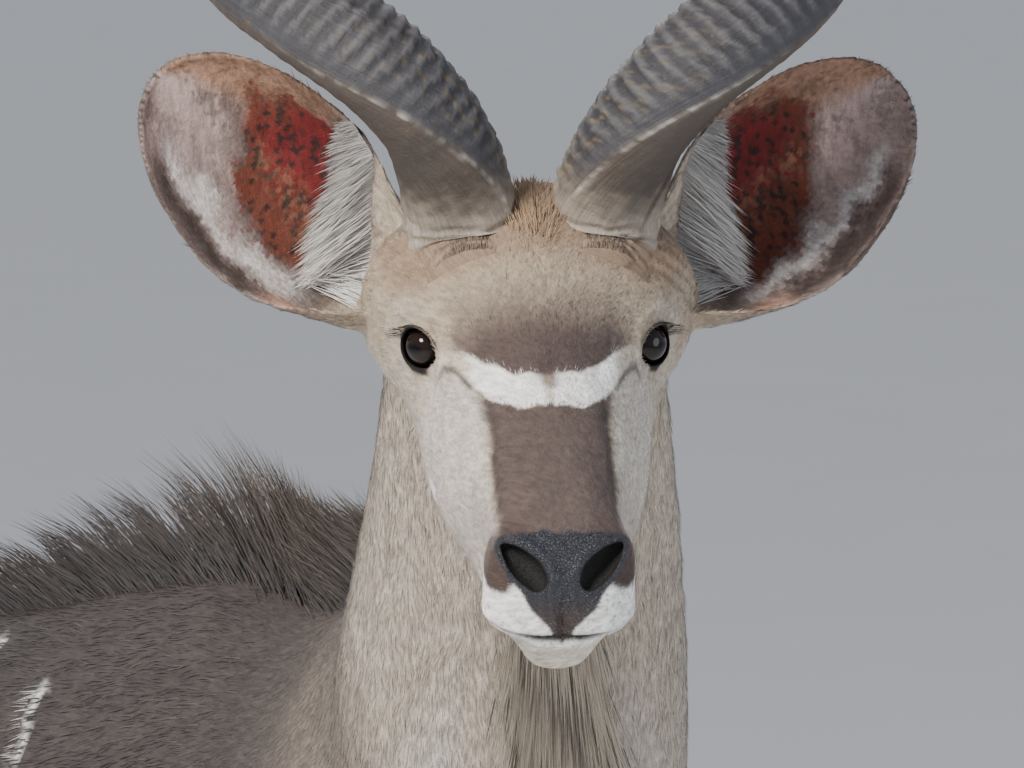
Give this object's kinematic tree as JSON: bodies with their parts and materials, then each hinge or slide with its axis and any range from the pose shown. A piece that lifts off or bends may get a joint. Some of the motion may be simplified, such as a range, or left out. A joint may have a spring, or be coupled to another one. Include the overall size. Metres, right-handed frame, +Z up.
{
  "type": "greater kudu",
  "caption": "Life-size standing antelope bull, head turned to its right, with spiral horns, large cupped ears, crest, throat fringe and tufted tail.",
  "frame": {"origin": "on the ground under the middle of the model's bounding box", "axes": "+Z up, -Y the way the body faces, +X towards the animal's left side"},
  "size_m": [0.6492, 1.8926, 2.5763],
  "materials": {
    "head": "short matt hair, grey-brown with pale cheeks, white chevron and dark nose pad",
    "neck": "short matt hair, light grey-beige flecked dark",
    "torso": "short matt hair, grey-brown with thin pale flank stripes",
    "tail": "matt hair with a dark brush",
    "leg": "short matt cinnamon hair with dark garters",
    "ear": "thin skin, short hair outside and long pale hair inside",
    "horn": "ridged horn, satin, charcoal grey-brown",
    "eye": "wet and glossy, nearly black",
    "hoof": "smooth dark horn, satin",
    "dewclaw": "smooth dark horn, satin"
  },
  "bodies": {
    "root": {"head": "head", "eye_left": "eye", "horn_left": "horn", "ear_left": "ear", "eye_right": "eye", "horn_right": "horn", "ear_right": "ear", "foreleg_left": "leg", "hoof_foreleg_left_left": "hoof", "dewclaw_foreleg_left_left": "dewclaw", "hoof_foreleg_left_right": "hoof", "dewclaw_foreleg_left_right": "dewclaw", "foreleg_right": "leg", "hoof_foreleg_right_left": "hoof", "dewclaw_foreleg_right_left": "dewclaw", "hoof_foreleg_right_right": "hoof", "dewclaw_foreleg_right_right": "dewclaw", "hindleg_left": "leg", "hoof_hindleg_left_left": "hoof", "dewclaw_hindleg_left_left": "dewclaw", "hoof_hindleg_left_right": "hoof", "dewclaw_hindleg_left_right": "dewclaw", "hindleg_right": "leg", "hoof_hindleg_right_left": "hoof", "dewclaw_hindleg_right_left": "dewclaw", "hoof_hindleg_right_right": "hoof", "dewclaw_hindleg_right_right": "dewclaw", "neck": "neck", "torso": "torso", "tail": "tail"}
  },
  "joints": []
}
